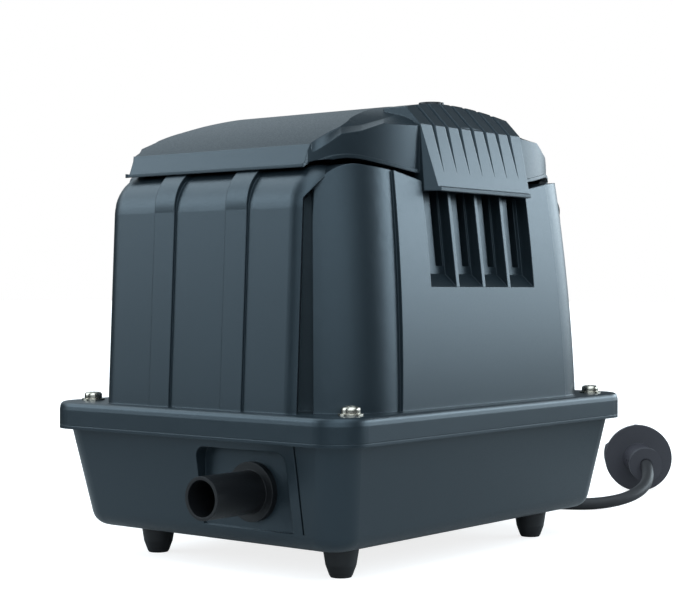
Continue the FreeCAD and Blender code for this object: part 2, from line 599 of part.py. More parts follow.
def lid_footprint(inset):
    half_x, end_x = d("lid_half_x") - inset, d("lid_end_x") - inset
    far = d("lid_bead_half_y") + 4
    bend_y, end_y = d("lid_corner_y") - inset, d("lid_end_y")
    side_x, side_y = d("lid_side_x") - inset, d("lid_side_y")
    plan = chain([(half_x, far), (half_x, bend_y), ("arc", (side_x, side_y), (end_x, end_y)),
                  (end_x, -end_y), ("arc", (side_x, -side_y), (half_x, -bend_y)), (half_x, -far),
                  (-half_x, -far), (-half_x, -bend_y), ("arc", (-side_x, -side_y), (-end_x, -end_y)),
                  (-end_x, end_y), ("arc", (-side_x, side_y), (-half_x, bend_y)), (-half_x, far)], "xy")
    return prism(plan, Vector(0, 0, 300))


def lid_end_cutters():
    """Solids above the two sloping surfaces at the lid's +X end."""
    cutters = []
    for inner, outer in ((ROOF_LINE, EAVE_LINE), (EAVE_LINE, SLOPE_LINE)):
        for i in range(len(inner) - 1):
            near = Part.LineSegment(Vector(*inner[i]), Vector(*inner[i + 1])).toShape()
            away = Part.LineSegment(Vector(*outer[i]), Vector(*outer[i + 1])).toShape()
            cutter = Part.makeRuledSurface(near, away).extrude(Vector(0, 0, 40))
            cutters.append(cutter)
            cutters.append(cutter.mirror(Vector(), Vector(0, 1, 0)))
    return cutters


def lid_form(inset):
    """The lid's outer form, drawn in by `inset` for its inside."""
    crease_y, crease = d("lid_crease_half_y") - inset, d("lid_crease") - inset
    side = d("lid_half_y") - inset
    low, top = d("lid_low"), (0, d("lid_crest") - inset)
    if inset:
        right = [(side, low - 1), (crease_y, crease)]
    else:
        bead, bead_top = d("lid_bead_half_y"), d("lid_bead_top")
        right = [(bead, low), (bead, bead_top), (side - d("lid_bead_height") / 4, bead_top),
                 (crease_y, crease)]
    left = [(-y, z) for y, z in reversed(right)]
    sides = right + [("arc", top, left[0])] + left[1:]
    form = prism(chain(sides, "yz"), Vector(100, 0, 0)).common(lid_footprint(inset))
    for cutter in lid_end_cutters():
        cutter.translate(Vector(-d("lid_wall_run") * inset, 0, -d("lid_wall_drop") * inset))
        form = form.cut([cutter, cutter.mirror(Vector(), Vector(1, 0, 0))])
    return form


def edge_curve(rise):
    curve = Part.BSplineCurve()
    curve.interpolate([Vector(0, y, z + rise) for y, z in EDGE_LINE])
    return curve.toShape()


def lid_edge_tool():
    """What lies below the lid's cheek at the +X end."""
    first, last = Vector(0, *EDGE_LINE[0]), Vector(0, *EDGE_LINE[-1])
    middle = Vector(0, 0, last.z)
    foot, corner = Vector(0, 0, 150), Vector(0, first.y, 150)
    lines = [Part.LineSegment(a, b).toShape()
             for a, b in ((last, middle), (middle, foot), (foot, corner), (corner, first))]
    half = Part.Face(Part.Wire([edge_curve(0)] + lines)).extrude(Vector(40, 0, 0))
    half.translate(Vector(d("lid_half_x") - 0.8, 0, 0))
    return half.fuse(half.mirror(Vector(), Vector(0, 1, 0)))


def cheek_bead():
    """The bead along the lower edge of the +X -Y cheek."""
    rise = d("lid_bead_height")
    first, last = Vector(0, *EDGE_LINE[0]), Vector(0, *EDGE_LINE[-1])
    up = Vector(0, 0, rise)
    lines = [Part.LineSegment(spot, spot + up).toShape() for spot in (first, last)]
    face = Part.Face(Part.Wire(Part.__sortEdges__([edge_curve(0), edge_curve(rise)] + lines)))
    band = face.extrude(Vector(40, 0, 0))
    band.translate(Vector(d("lid_half_x"), 0, 0))
    return band.common(lid_footprint(-d("lid_bead_out")))


def hood(drop):
    """The ribbed intake hood at the +X end, open below and at its back, its crown cut down by `drop`."""
    front_low, front_high = d("hood_front_low_x"), d("hood_front_high_x")
    back, low, bend = d("hood_back_x"), d("hood_low"), d("hood_bend")
    lip, out = d("hood_lip"), d("hood_lip_out")
    top_x, top = d("hood_top_x"), d("hood_top")
    outer = prism(chain([(back, low), (front_low + out, low), (front_low + out, low + lip),
                         (front_low, low + lip + 0.4), (front_high, bend), (top_x, top + 1),
                         (50, top + 1), (50, 198), (back, 186)], "xz"), Vector(0, d("hood_half"), 0))
    half, crease = d("lid_crease_half_y"), d("lid_crease") - drop
    cap = prism(chain([(half, 100), (half, crease), ("arc", (0, top - drop), (-half, crease)),
                       (-half, 100)], "yz"), Vector(100, 0, 0))
    outer = outer.common(cap)
    wall = d("hood_wall")
    inner = prism(chain([(back - 5, low - 1), (front_low - wall, low - 1),
                         (front_low - wall, low + lip), (front_high - wall, bend - 6),
                         (back - 5, bend - 6)], "xz"), Vector(0, d("hood_half") - 3.2, 0))
    cuts = [inner]
    for side in (-1, 1):
        y = side * (d("hood_half") + 0.1)
        triangle = Part.makePolygon([Vector(d("hood_corner_x"), y, low - 0.5), Vector(80, y, low - 0.5),
                                     Vector(80, side * d("hood_corner_y"), low - 0.5),
                                     Vector(d("hood_corner_x"), y, low - 0.5)])
        cuts.append(Part.makeLoft([triangle, Part.Vertex(front_high - 0.3, y, bend + 1)], True, True))
    run = (front_low - front_high) / (bend - low - lip)
    tip_x = front_high + run * (bend - d("groove_end")) + 0.05
    wide, deep = d("groove_half"), d("groove_depth")
    far = Vector(front_high - top_x, 0, bend - top - 1) * -1.35
    for i in range(-3, 4):
        y = i * d("groove_pitch")
        near_cut = [Vector(front_high + 0.6, y - wide, bend + 0.6),
                    Vector(front_high + 0.6, y + wide, bend + 0.6),
                    Vector(front_high - deep * 0.8, y, bend - deep * 0.6)]
        far_cut = [spot + far for spot in near_cut]
        near_loop = Part.makePolygon(near_cut + near_cut[:1])
        far_loop = Part.makePolygon(far_cut + far_cut[:1])
        cuts.append(Part.makeLoft([near_loop, Part.Vertex(tip_x, y, d("groove_end"))], True, True))
        cuts.append(Part.makeLoft([near_loop, far_loop], True, True))
    return outer, cuts


def make_filter_lid():
    wall = d("lid_wall")
    near_hood, hood_cuts = hood(0)
    far_hood = hood(d("far_hood_drop"))[0].mirror(Vector(), Vector(1, 0, 0))
    body = lid_form(0).fuse(four_corners(cheek_bead())).cut(both_ends(lid_edge_tool()))
    body = body.fuse([near_hood, far_hood]).cut(lid_form(wall))
    for tool in hood_cuts:
        body = body.cut(both_ends(tool))
    # ring that presses on the seal, and the post round the screw
    deck = d("saddle_top")
    rib = seal_ring(deck + d("seal_height"), 215).common(lid_form(1.5))
    post = Part.makeCylinder(d("boss_radius"), 40, Vector(d("knob_x"), 0, deck + 0.1))
    body = body.fuse([rib, post.common(lid_form(1.5))])
    # room for the saddle and its bands under the lid's lower edge
    clearance = d("band_height") + d("lid_clearance")
    under = saddle_form(clearance, d("saddle_half_x")).cut(
        cuboid((-60, -d("saddle_top_half_y"), deck - 5), (60, d("saddle_top_half_y"), 190)))
    hole = Part.makeCylinder(d("knob_shank") + d("knob_gap"), 60, Vector(d("knob_x"), 0, 165))
    seat = Part.makeCylinder(d("knob_radius") + 0.4, 20, Vector(d("knob_x"), 0, d("knob_low")))
    return body.cut(under).cut(hole).cut(seat).removeSplitter()


def seal_ring(low, high):
    hx, hy, w, r = d("seal_half_x"), d("seal_half_y"), d("seal_width"), d("seal_corner")
    outer = drafted([(low, hx, hy), (high, hx, hy)], r)
    inner = drafted([(low - 1, hx - w, hy - w), (high + 1, hx - w, hy - w)], r - w)
    return outer.cut(inner)


# ---------------------------------------------------------------- cords

def tube_path(points):
    """Straight runs joined by tangent arcs, each as large as its two runs allow."""
    spots = [Vector(*p) for p in points]
    edges = []
    here = spots[0]
    for before, spot, after in zip(spots, spots[1:], spots[2:]):
        a, b = (before - spot), (after - spot)
        shorter = min(a.Length, b.Length)
        turn = math.pi - a.getAngle(b)
        radius = 0.45 * shorter / math.tan(turn / 2)
        start = spot + Vector(a).normalize() * (0.45 * shorter)
        end = spot + Vector(b).normalize() * (0.45 * shorter)
        inward = (Vector(a).normalize() + Vector(b).normalize()).normalize()
        centre = spot + inward * (radius / math.cos(turn / 2))
        middle = centre - inward * radius
        edges.append(Part.LineSegment(here, start).toShape())
        edges.append(Part.Arc(start, middle, end).toShape())
        here = end
        print("cord bend radius %.1f" % radius)
    edges.append(Part.LineSegment(here, spots[-1]).toShape())
    return Part.Wire(edges)


def tube(points, radius):
    path = tube_path(points)
    start = Vector(*points[0])
    ring = Part.Wire(Part.Circle(start, Vector(*points[1]) - start, radius).toShape())
    pipe = path.makePipeShell([ring], True, False)
    expected = math.pi * radius ** 2 * path.Length
    print("tube volume %.0f, section times length %.0f, length %.1f"
          % (pipe.Volume, expected, path.Length))
    return pipe


# where the lead runs, about the casing's middle: from the strain relief to the coil ...
CORD_DROP = [(-45, 134, 30), (-45.3, 152, 28), (-45.6, 172, 17.8), (-45.2, 192, 11.4), (-45, 209, 9.8)]
# ... and from the coil along the ground to the plug
CORD_TAIL = [(-87.5, 166.5, 3.3), (-60, 166, 3.3), (-35, 167.5, 3.3), (-10, 166.2, 3.3),
             (14.2, 166, 3.3), (33.3, 177.6, 3.4), (43.6, 197.4, 6.5), (42.1, 219.8, 13.6),
             (29.5, 237.8, 19.75)]
PLUG_HEADING = Vector(-0.574, 0.819, 0)


def plug_place(thing):
    """Lay a plug piece, modelled upright from its cord end, on the ground."""
    thing.Placement = Placement(Vector(*CORD_TAIL[-1]) + Vector(0, d("casing_shift"), 0),
                                Rotation(Vector(0, 0, 1), PLUG_HEADING))
    return thing


def make_plug_body():
    neck_tip, neck_base = d("plug_neck_tip"), d("plug_neck_base")
    length, collar = d("plug_neck_length"), d("plug_collar")
    flange, body = d("plug_flange"), d("plug_body")
    shape = Part.makeCone(neck_tip, neck_base, length - collar, Vector(0, 0, collar))
    shape = shape.fuse(Part.makeCylinder(d("plug_collar_radius"), collar))
    shape = shape.fuse(Part.makeCylinder(d("plug_flange_radius"), flange, Vector(0, 0, length)))
    head = Part.makeCylinder(d("plug_body_radius"), body, Vector(0, 0, length + flange))
    side = d("plug_side_cut")
    head = head.common(cuboid((-30, -side, 0), (30, side, 200)))
    shape = shape.fuse(head)
    base = length + flange
    key_half, key_depth = d("plug_key_half"), d("plug_key_depth")
    keys, slots, pins = [], [], []
    for s in (-1, 1):
        inner, outer = sorted((s * (side - key_depth), s * (side + 1)))
        keys.append(cuboid((-key_half, inner, base + 2), (key_half, outer, base + body + 1)))
        pins.append(Part.makeCylinder(d("pin_radius"), 40,
                                      Vector(s * d("pin_offset"), 0, base + body - d("pin_root"))))
        for i in range(4):
            z = collar + d("neck_slot_start") + i * d("neck_slot_pitch")
            slot = cuboid((-d("neck_slot_deep"), -d("neck_slot_half"), z),
                          (d("neck_slot_deep"), d("neck_slot_half"), z + d("neck_slot_width")))
            slot.translate(Vector(s * d("neck_slot_out"), 0, 0))
            slots.append(slot)
    bore = Part.makeCylinder(d("cord_radius"), 6)
    return shape.cut(Part.makeCompound(keys + slots)).cut(Part.makeCompound(pins)).cut(bore)


def make_plug_pins():
    base = d("plug_neck_length") + d("plug_flange") + d("plug_body") - d("pin_root")
    length = d("pin_root") + d("pin_length")
    pins = []
    for side in (-1, 1):
        pin = Part.makeCylinder(d("pin_radius"), length, Vector(side * d("pin_offset"), 0, base))
        tip = [e for e in pin.Edges if e.BoundBox.ZMin > base + length - 0.1]
        pins.append(pin.makeFillet(d("pin_round"), tip))
    return Part.makeCompound(pins)


def make_earth_contacts():
    base = d("plug_neck_length") + d("plug_flange") + 3
    side, deep = d("plug_side_cut"), d("plug_key_depth")
    half, thick = d("contact_half"), d("contact_thick")
    strips = []
    for s in (-1, 1):
        y = s * (side - deep)
        strips.append(cuboid((-half, min(y, y + s * thick), base),
                             (half, max(y, y + s * thick), base + d("contact_length"))))
    return Part.makeCompound(strips)


def make_coil():
    r, step = d("coil_radius"), d("coil_turn_step")
    outer = r + step + d("cord_radius")
    inner = r - step - d("cord_radius")
    ring = Part.makeCylinder(outer, 2 * step, Vector(d("coil_x"), d("coil_y"), 0.05))
    return ring.cut(Part.makeCylinder(inner, 20, Vector(d("coil_x"), d("coil_y"), -1)))


# ---------------------------------------------------------------- build: casing

sub_part("lower_housing", formed("tub", make_lower_housing()))
sub_part("upper_cover", formed("cover", make_upper_cover()))
gasket_inset = d("rim_skirt_wall") + d("upstand_gap") + 0.2
gasket = rim_ring(d("upstand_high"), d("rim_plate_low"), gasket_inset, d("gasket_width"))
sub_part("rim_gasket", formed("gasket", gasket))

for number, (x, y) in enumerate(corners(1, 1), start=1):
    foot = turned("foot_%d" % number, [(None, None), ("foot_tip_radius", None),
                                       ("foot_heel_radius", "foot_heel_height"),
                                       ("foot_belly_radius", "foot_belly_height"),
                                       ("foot_top_radius", "foot_height"), (None, "foot_height")])
    put(foot, "%d * dim.foot_x" % x, "%d * dim.foot_y" % y, "0")
    sub_part("foot_%d" % number, foot)

screws, washers = [], []
for number, (x, y) in enumerate(corners(1, 1), start=1):
    at_x, at_y = "%d * dim.screw_x" % x, "%d * dim.screw_y" % y
    seat = "dim.rim_high + dim.washer"
    shank = rod("shank_%d" % number, "dim.screw_radius", "dim.rim_high + dim.washer - dim.screw_low",
                (at_x, at_y, "dim.screw_low"))
    head = rod("head_%d" % number, "dim.screw_head_radius", "dim.screw_head", (at_x, at_y, seat))
    round_head = doc.addObject("Part::Fillet", "round_head_%d" % number)
    round_head.Base = head
    doc.recompute()
    top_edge = [i for i, e in enumerate(head.Shape.Edges, start=1)
                if e.BoundBox.ZMin > d("rim_high") + d("washer") + d("screw_head") - 0.1][0]
    round_head.Edges = [(top_edge, d("screw_round"), d("screw_round"))]
    slots = [block("drive_%d_%s" % (number, way),
                   ("%s - dim.recess_half_%s" % (at_x, a), "%s - dim.recess_half_%s" % (at_y, b),
                    "%s + dim.screw_head - dim.recess_depth" % seat),
                   ("%s + dim.recess_half_%s" % (at_x, a), "%s + dim.recess_half_%s" % (at_y, b),
                    "%s + dim.screw_head + 1" % seat))
             for way, a, b in (("x", "length", "width"), ("y", "width", "length"))]
    screws.append(cut("screw_%d" % number, fuse("screw_blank_%d" % number, shank, round_head), *slots))
    disc = rod("disc_%d" % number, "dim.washer_radius", "dim.washer", (at_x, at_y, "dim.rim_high"))
    eye = rod("eye_%d" % number, "dim.screw_radius + dim.screw_gap", "3", (at_x, at_y, "dim.rim_high - 1"))
    washers.append(cut("washer_%d" % number, disc, eye))
sub_part("cover_screws", group("screw_set", *screws))
sub_part("cover_screw_washers", group("washer_set", *washers))

# ---------------------------------------------------------------- build: outlet

nozzle_at = ("dim.nozzle_x", "dim.nozzle_z")
tail = rod("nozzle_tail_rod", "dim.nozzle_tail_radius", "dim.pad_face_y - dim.nozzle_tail",
           (nozzle_at[0], "-dim.pad_face_y", nozzle_at[1]), "y")
collar = rod("nozzle_collar", "dim.nozzle_flange_radius", "dim.nozzle_flange",
             (nozzle_at[0], "-dim.pad_face_y - dim.nozzle_flange", nozzle_at[1]), "y")
spout = rod("nozzle_spout", "dim.nozzle_radius", "dim.nozzle_reach - dim.pad_face_y - dim.nozzle_flange",
            (nozzle_at[0], "-dim.nozzle_reach", nozzle_at[1]), "y")
bore = rod("nozzle_bore", "dim.nozzle_radius - dim.nozzle_wall", "dim.nozzle_reach - dim.pad_face_y + 1",
           (nozzle_at[0], "-dim.nozzle_reach - 1", nozzle_at[1]), "y")
tail_bore = rod("nozzle_tail_bore", "dim.nozzle_tail_radius - dim.nozzle_wall", "60",
                (nozzle_at[0], "-dim.nozzle_reach - 1", nozzle_at[1]), "y")
nozzle_blank = fuse("nozzle_blank", tail, collar, spout)
sub_part("outlet_nozzle", cut("nozzle", nozzle_blank, bore, tail_bore))

# ---------------------------------------------------------------- build: filter lid

sub_part("filter_lid", formed("lid", make_filter_lid()))
sub_part("lid_seal", formed("seal", seal_ring(d("saddle_top"), d("saddle_top") + d("seal_height"))))
knob_head = rod("knob_head", "dim.knob_radius", "dim.knob_top - dim.knob_low",
                ("dim.knob_x", "0", "dim.knob_low"))
knob_shank = rod("knob_shank_rod", "dim.knob_shank", "dim.knob_low - dim.knob_shank_low",
                 ("dim.knob_x", "0", "dim.knob_shank_low"))
knob_slot = block("knob_slot",
                  ("dim.knob_x - 10", "-dim.knob_slot_half", "dim.knob_top - dim.knob_slot_depth"),
                  ("dim.knob_x + 10", "dim.knob_slot_half", "dim.knob_top + 1"))
sub_part("lid_screw", cut("knob", fuse("knob_blank", knob_head, knob_shank), knob_slot))

tray_outer = block("tray_outer", ("-dim.tray_half_x", "-dim.tray_half_y", "dim.tray_low"),
                   ("dim.tray_half_x", "dim.tray_half_y", "dim.saddle_top"))
tray_flange = block("tray_flange_plate",
                    ("-dim.tray_half_x - dim.tray_flange", "-dim.tray_half_y - dim.tray_flange",
                     "dim.saddle_top"),
                    ("dim.tray_half_x + dim.tray_flange", "dim.tray_half_y + dim.tray_flange",
                     "dim.saddle_top + dim.tray_flange_thick"))
tray_inner = block("tray_inner",
                   ("-dim.tray_half_x + dim.tray_wall", "-dim.tray_half_y + dim.tray_wall",
                    "dim.tray_low + dim.tray_wall"),
                   ("dim.tray_half_x - dim.tray_wall", "dim.tray_half_y - dim.tray_wall",
                    "dim.saddle_top + 9"))
tray_slots = [block("tray_slot_%d" % i,
                    ("-dim.tray_half_x + 6", "%d * 20 - dim.tray_slot_half" % i, "dim.tray_low - 1"),
                    ("dim.tray_half_x - 6", "%d * 20 + dim.tray_slot_half" % i, "dim.tray_low + 5"))
              for i in range(-3, 4)]
sub_part("filter_tray", cut("tray", fuse("tray_blank", tray_outer, tray_flange), tray_inner, *tray_slots))
foam = block("foam", ("-dim.tray_half_x + dim.tray_wall + dim.foam_gap",
                      "-dim.tray_half_y + dim.tray_wall + dim.foam_gap", "dim.tray_low + dim.tray_wall"),
             ("dim.tray_half_x - dim.tray_wall - dim.foam_gap",
              "dim.tray_half_y - dim.tray_wall - dim.foam_gap", "dim.foam_top"))
sub_part("filter_foam", foam)

# ---------------------------------------------------------------- build: compressor frame

base_plate = block("base_plate", ("-dim.base_half_x", "-dim.base_half_y", "dim.base_low"),
                   ("dim.base_half_x", "dim.base_half_y", "dim.base_low + dim.base_thick"))
posts = []
for sign in (-1, 1):
    inner, outer = sorted((sign * d("core_back_x"), sign * (d("core_back_x") - d("saddle_post"))))
    posts.append(block("post_%d" % (sign + 1), ("%g" % inner, "-dim.core_half_y", "dim.base_low"),
                       ("%g" % outer, "dim.core_half_y", "dim.axis_z - dim.core_half_z")))
sub_part("motor_base", fuse("base", base_plate, *posts))

for number, (x, y) in enumerate(corners(1, 1), start=1):
    spool = rod("spool_%d" % number, "dim.mount_radius", "dim.base_low - dim.tub_low - dim.tub_floor",
                ("%d * dim.mount_x" % x, "%d * dim.mount_y" % y, "dim.tub_low + dim.tub_floor"))
    sub_part("shock_mount_%d" % number, spool)

for side, sign in (("left", -1), ("right", 1)):
    def across(a, b):
        """Order two X expressions for this side of the armature."""
        return ("-(%s)" % b, "-(%s)" % a) if sign < 0 else (a, b)

    low, high = across("dim.core_back_x - dim.core_yoke", "dim.core_back_x")
    zs = ("dim.axis_z - dim.core_half_z", "dim.axis_z + dim.core_half_z")
    limbs = [block("yoke_" + side, (low, "-dim.core_half_y", zs[0]), (high, "dim.core_half_y", zs[1]))]
    low, high = across("dim.core_face_x", "dim.core_back_x - dim.core_yoke")
    for tag, a, b in (("middle", "-dim.pole_half", "dim.pole_half"),
                      ("front", "-dim.core_half_y", "-dim.core_half_y + dim.outer_pole"),
                      ("rear", "dim.core_half_y - dim.outer_pole", "dim.core_half_y")):
        limbs.append(block("pole_%s_%s" % (tag, side), (low, a, zs[0]), (high, b, zs[1])))
    sub_part("stator_core_" + side, fuse("core_" + side, *limbs))

    low, high = across("dim.bobbin_low_x", "dim.bobbin_high_x")
    tube_y, tube_z = "dim.pole_half + dim.coil_gap", "dim.core_half_z + dim.coil_gap"
    sleeve = block("sleeve_" + side,
                   (low, "-(%s) - dim.bobbin_wall" % tube_y, "dim.axis_z - (%s) - dim.bobbin_wall" % tube_z),
                   (high, "%s + dim.bobbin_wall" % tube_y, "dim.axis_z + %s + dim.bobbin_wall" % tube_z))
    cheeks = []
    for tag, a, b in (("in", "dim.bobbin_low_x", "dim.bobbin_low_x + dim.bobbin_wall"),
                      ("out", "dim.bobbin_high_x - dim.bobbin_wall", "dim.bobbin_high_x")):
        x_low, x_high = across(a, b)
        cheeks.append(block("cheek_%s_%s" % (tag, side),
                            (x_low, "-dim.bobbin_half_y", "dim.axis_z - dim.bobbin_half_z"),
                            (x_high, "dim.bobbin_half_y", "dim.axis_z + dim.bobbin_half_z")))
    window = block("window_" + side, ("%s - 1" % low, "-(%s)" % tube_y, "dim.axis_z - (%s)" % tube_z),
                   ("%s + 1" % high, tube_y, "dim.axis_z + %s" % tube_z))
    spool_blank = fuse("bobbin_blank_" + side, sleeve, *cheeks)
    sub_part("coil_bobbin_" + side, cut("bobbin_" + side, spool_blank, window))

    x_low, x_high = across("dim.bobbin_low_x + dim.bobbin_wall", "dim.bobbin_high_x - dim.bobbin_wall")
    copper = block("copper_" + side,
                   (x_low, "-dim.bobbin_half_y + dim.winding_inset",
                    "dim.axis_z - dim.bobbin_half_z + dim.winding_inset"),
                   (x_high, "dim.bobbin_half_y - dim.winding_inset",
                    "dim.axis_z + dim.bobbin_half_z - dim.winding_inset"))
    hollow = block("copper_hollow_" + side,
                   ("%s - 1" % x_low, "-(%s) - dim.bobbin_wall" % tube_y,
                    "dim.axis_z - (%s) - dim.bobbin_wall" % tube_z),
                   ("%s + 1" % x_high, "%s + dim.bobbin_wall" % tube_y,
                    "dim.axis_z + %s + dim.bobbin_wall" % tube_z))
    sub_part("coil_winding_" + side, cut("winding_" + side, copper, hollow))

# ---------------------------------------------------------------- build: armature

sub_part("armature_shaft", rod("shaft", "dim.shaft_radius", "2 * dim.shaft_half",
                               ("0", "-dim.shaft_half", "dim.axis_z"), "y"))
magnets, pockets = [], []
for tag, low, high in (("front", "-dim.magnet_high_y", "-dim.magnet_low_y"),
                       ("rear", "dim.magnet_low_y", "dim.magnet_high_y")):
    ends = [("-dim.carrier_half_x", low, "dim.axis_z - dim.magnet_half_z"),
            ("dim.carrier_half_x", high, "dim.axis_z + dim.magnet_half_z")]
    drill = rod("magnet_drill_" + tag, "dim.shaft_radius", "100", ("0", "-50", "dim.axis_z"), "y")
    magnets.append(cut("magnet_" + tag, block("magnet_block_" + tag, *ends), drill))
    pockets.append(block("pocket_" + tag, *ends))
carrier_block = block("carrier_block",
                      ("-dim.carrier_half_x", "-dim.carrier_half_y", "dim.axis_z - dim.carrier_half_z"),
                      ("dim.carrier_half_x", "dim.carrier_half_y", "dim.axis_z + dim.carrier_half_z"))
carrier_drill = rod("carrier_drill", "dim.shaft_radius", "100", ("0", "-50", "dim.axis_z"), "y")
sub_part("magnet_carrier", cut("carrier", carrier_block, carrier_drill, *pockets))
sub_part("armature_magnets", group("magnet_set", *magnets))

face = "dim.bracket_y + dim.bracket_thick"
for end, sign in (("front", -1), ("rear", 1)):
    def along(a, b):
        """Order two Y expressions for this end of the armature."""
        return ("-(%s)" % b, "-(%s)" % a) if sign < 0 else (a, b)

    def disc(name, radius, a, b):
        """A disc on the armature's axis between two distances from its middle."""
        low, _ = along(a, b)
        return rod(name + "_" + end, radius, "(%s) - (%s)" % (b, a), ("0", low, "dim.axis_z"), "y")

    far = face + " + dim.diaphragm_thick"
    plates = []
    for tag, a, b in (("inner", face + " - dim.clamp_thick", face),
                      ("outer", far, far + " + dim.clamp_thick")):
        plate = disc("clamp_%s" % tag, "dim.clamp_radius", a, b)
        drill = disc("clamp_%s_drill" % tag, "dim.shaft_radius", a + " - 1", b + " + 1")
        plates.append(cut("clamp_plate_%s_%s" % (tag, end), plate, drill))
    sub_part("diaphragm_plates_" + end, group("clamp_set_" + end, *plates))

    low, high = along(far + " + dim.clamp_thick", far + " + dim.clamp_thick + dim.nut_thick")
    nut = doc.addObject("Part::Prism", "nut_blank_" + end)
    nut.Polygon = 6
    nut.setExpression("Circumradius", "dim.nut_radius")
    nut.setExpression("Height", "dim.nut_thick")
    nut.Placement = Placement(Vector(), Rotation(Vector(1, 0, 0), -90))
    put(nut, "0", low, "dim.axis_z")
    nut_drill = disc("nut_drill", "dim.shaft_radius", far, far + " + 20")
    sub_part("shaft_nut_" + end, cut("nut_" + end, nut, nut_drill))

    skin = disc("diaphragm_disc", "dim.diaphragm_radius", face, far)
    skin_drill = disc("diaphragm_drill", "dim.shaft_radius", face + " - 1", far + " + 1")
    sub_part("diaphragm_" + end, cut("diaphragm_skin_" + end, skin, skin_drill))

    # bracket that carries the head; its plate clamps the diaphragm's rim
    low, high = along("dim.bracket_y", face)
    upright = block("upright_" + end, ("-dim.bracket_half", low, "dim.base_low + dim.base_thick"),
                    ("dim.bracket_half", high, "dim.axis_z + dim.bracket_half"))
    opening = disc("bracket_opening", "dim.bracket_hole", "dim.bracket_y - 1", face + " + 1")
    bracket_tools = [opening]
    head_tools = [disc("chamber", "dim.chamber_radius", face, face + " + dim.chamber_depth"),
                  disc("diaphragm_seat", "dim.diaphragm_radius", face, far)]
    cover_tools = []
    head_bolts = []
    back = face + " + dim.head_depth"
    shell_end = back + " + dim.cover_depth"
    for x, z in corners(1, 1):
        tag = "%d%d" % (x + 1, z + 1)
        at_x = "%d * dim.head_screw_offset" % x
        at_z = "dim.axis_z + %d * dim.head_screw_offset" % z
        low, _ = along("dim.bracket_y", back)
        shank = rod("bolt_%s_%s" % (tag, end), "dim.head_screw_radius", "%s - dim.bracket_y" % back,
                    (at_x, low, at_z), "y")
        low, _ = along(back, back + " + dim.head_screw_cap")
        cap = rod("bolt_cap_%s_%s" % (tag, end), "dim.head_screw_head", "dim.head_screw_cap",
                  (at_x, low, at_z), "y")
        head_bolts.append(fuse("head_bolt_%s_%s" % (tag, end), shank, cap))
        for owner, tools in (("bracket", bracket_tools), ("head", head_tools)):
            low, _ = along("dim.bracket_y - 5", back + " + 5")
            tools.append(rod("%s_hole_%s_%s" % (owner, tag, end), "dim.head_screw_radius",
                             "%s + 10 - dim.bracket_y" % back, (at_x, low, at_z), "y"))
    sub_part("head_bracket_" + end, cut("bracket_" + end, upright, *bracket_tools))
    sub_part("head_screws_" + end, group("head_bolt_set_" + end, *head_bolts))

    low, high = along(face, back)
    head_block = block("head_block_" + end, ("-dim.head_half", low, "dim.axis_z - dim.head_half"),
                       ("dim.head_half", high, "dim.axis_z + dim.head_half"))
    for tag, level in (("intake", "dim.axis_z + dim.port_offset"),
                       ("exhaust", "dim.axis_z - dim.port_offset")):
        low, _ = along(face, back + " + 1")
        head_tools.append(rod("%s_port_%s" % (tag, end), "dim.port_radius", "dim.head_depth + 1",
                              ("0", low, level), "y"))
    sub_part("pump_head_" + end, cut("head_" + end, head_block, *head_tools))

    # valve cover with an intake and an exhaust chamber, and the exhaust spigot below
    low, high = along(back, shell_end)
    shell_block = block("valve_cover_block_" + end,
                        ("-dim.cover_half_x", low, "dim.axis_z - dim.cover_half"),
                        ("dim.cover_half_x", high, "dim.axis_z + dim.cover_half"))
    low, high = along(back, shell_end + " - dim.cover_rim")
    room_half = "dim.cover_half_x - dim.cover_rim"
    rooms = [block("room_low_" + end,
                   ("-(%s)" % room_half, low, "dim.axis_z - dim.cover_half + dim.cover_rim"),
                   (room_half, high, "dim.axis_z - dim.rib_half")),
             block("room_high_" + end, ("-(%s)" % room_half, low, "dim.axis_z + dim.rib_half"),
                   (room_half, high, "dim.axis_z + dim.cover_half - dim.cover_rim"))]
    spigot_low, _ = along("dim.spigot_y", "dim.spigot_y")
    spigot = rod("spigot_" + end, "dim.spigot_radius", "dim.spigot_reach + 1",
                 ("0", spigot_low, "dim.axis_z - dim.cover_half - dim.spigot_reach"))
    spigot_bore = rod("spigot_bore_" + end, "dim.spigot_bore", "dim.spigot_reach + 9",
                      ("0", spigot_low, "dim.axis_z - dim.cover_half - dim.spigot_reach - 1"))
    mouth_low, _ = along(shell_end + " - 6", shell_end + " + 1")
    mouth = rod("intake_mouth_" + end, "dim.mouth_radius", "7",
                ("0", mouth_low, "dim.axis_z + dim.port_offset"), "y")
    valve_blank = fuse("valve_blank_" + end, shell_block, spigot)
    sub_part("valve_cover_" + end, cut("valve_shell_" + end, valve_blank, spigot_bore, mouth, *rooms))

    # rubber flap valves on a bead: the intake flap closes from inside, the exhaust flap from outside
    inside = face + " + dim.chamber_depth"
    for kind, level, (disc_at, disc_end), (bead_at, bead_end) in (
            ("intake", "dim.axis_z + dim.port_offset", (inside + " - dim.flap_thick", inside),
             (inside + " - dim.flap_bead_gap - 2 * dim.flap_bead", inside + " - dim.flap_bead_gap")),
            ("exhaust", "dim.axis_z - dim.port_offset", (back, back + " + dim.flap_thick"),
             (back + " + dim.flap_bead_gap", back + " + dim.flap_bead_gap + 2 * dim.flap_bead"))):
        low, _ = along(disc_at, disc_end)
        flap = rod("%s_disc_%s" % (kind, end), "dim.flap_radius", "dim.flap_thick", ("0", low, level), "y")
        low, high = along(bead_at, bead_end)
        bead = rod("%s_bead_%s" % (kind, end), "dim.flap_bead", "2 * dim.flap_bead_half",
                   ("-dim.flap_bead_half", "((%s) + (%s)) / 2" % (low, high),
                    level + " + dim.flap_radius"), "x")
        sub_part("%s_flap_%s" % (kind, end), fuse("%s_valve_%s" % (kind, end), flap, bead))

# ---------------------------------------------------------------- build: air chamber and hoses

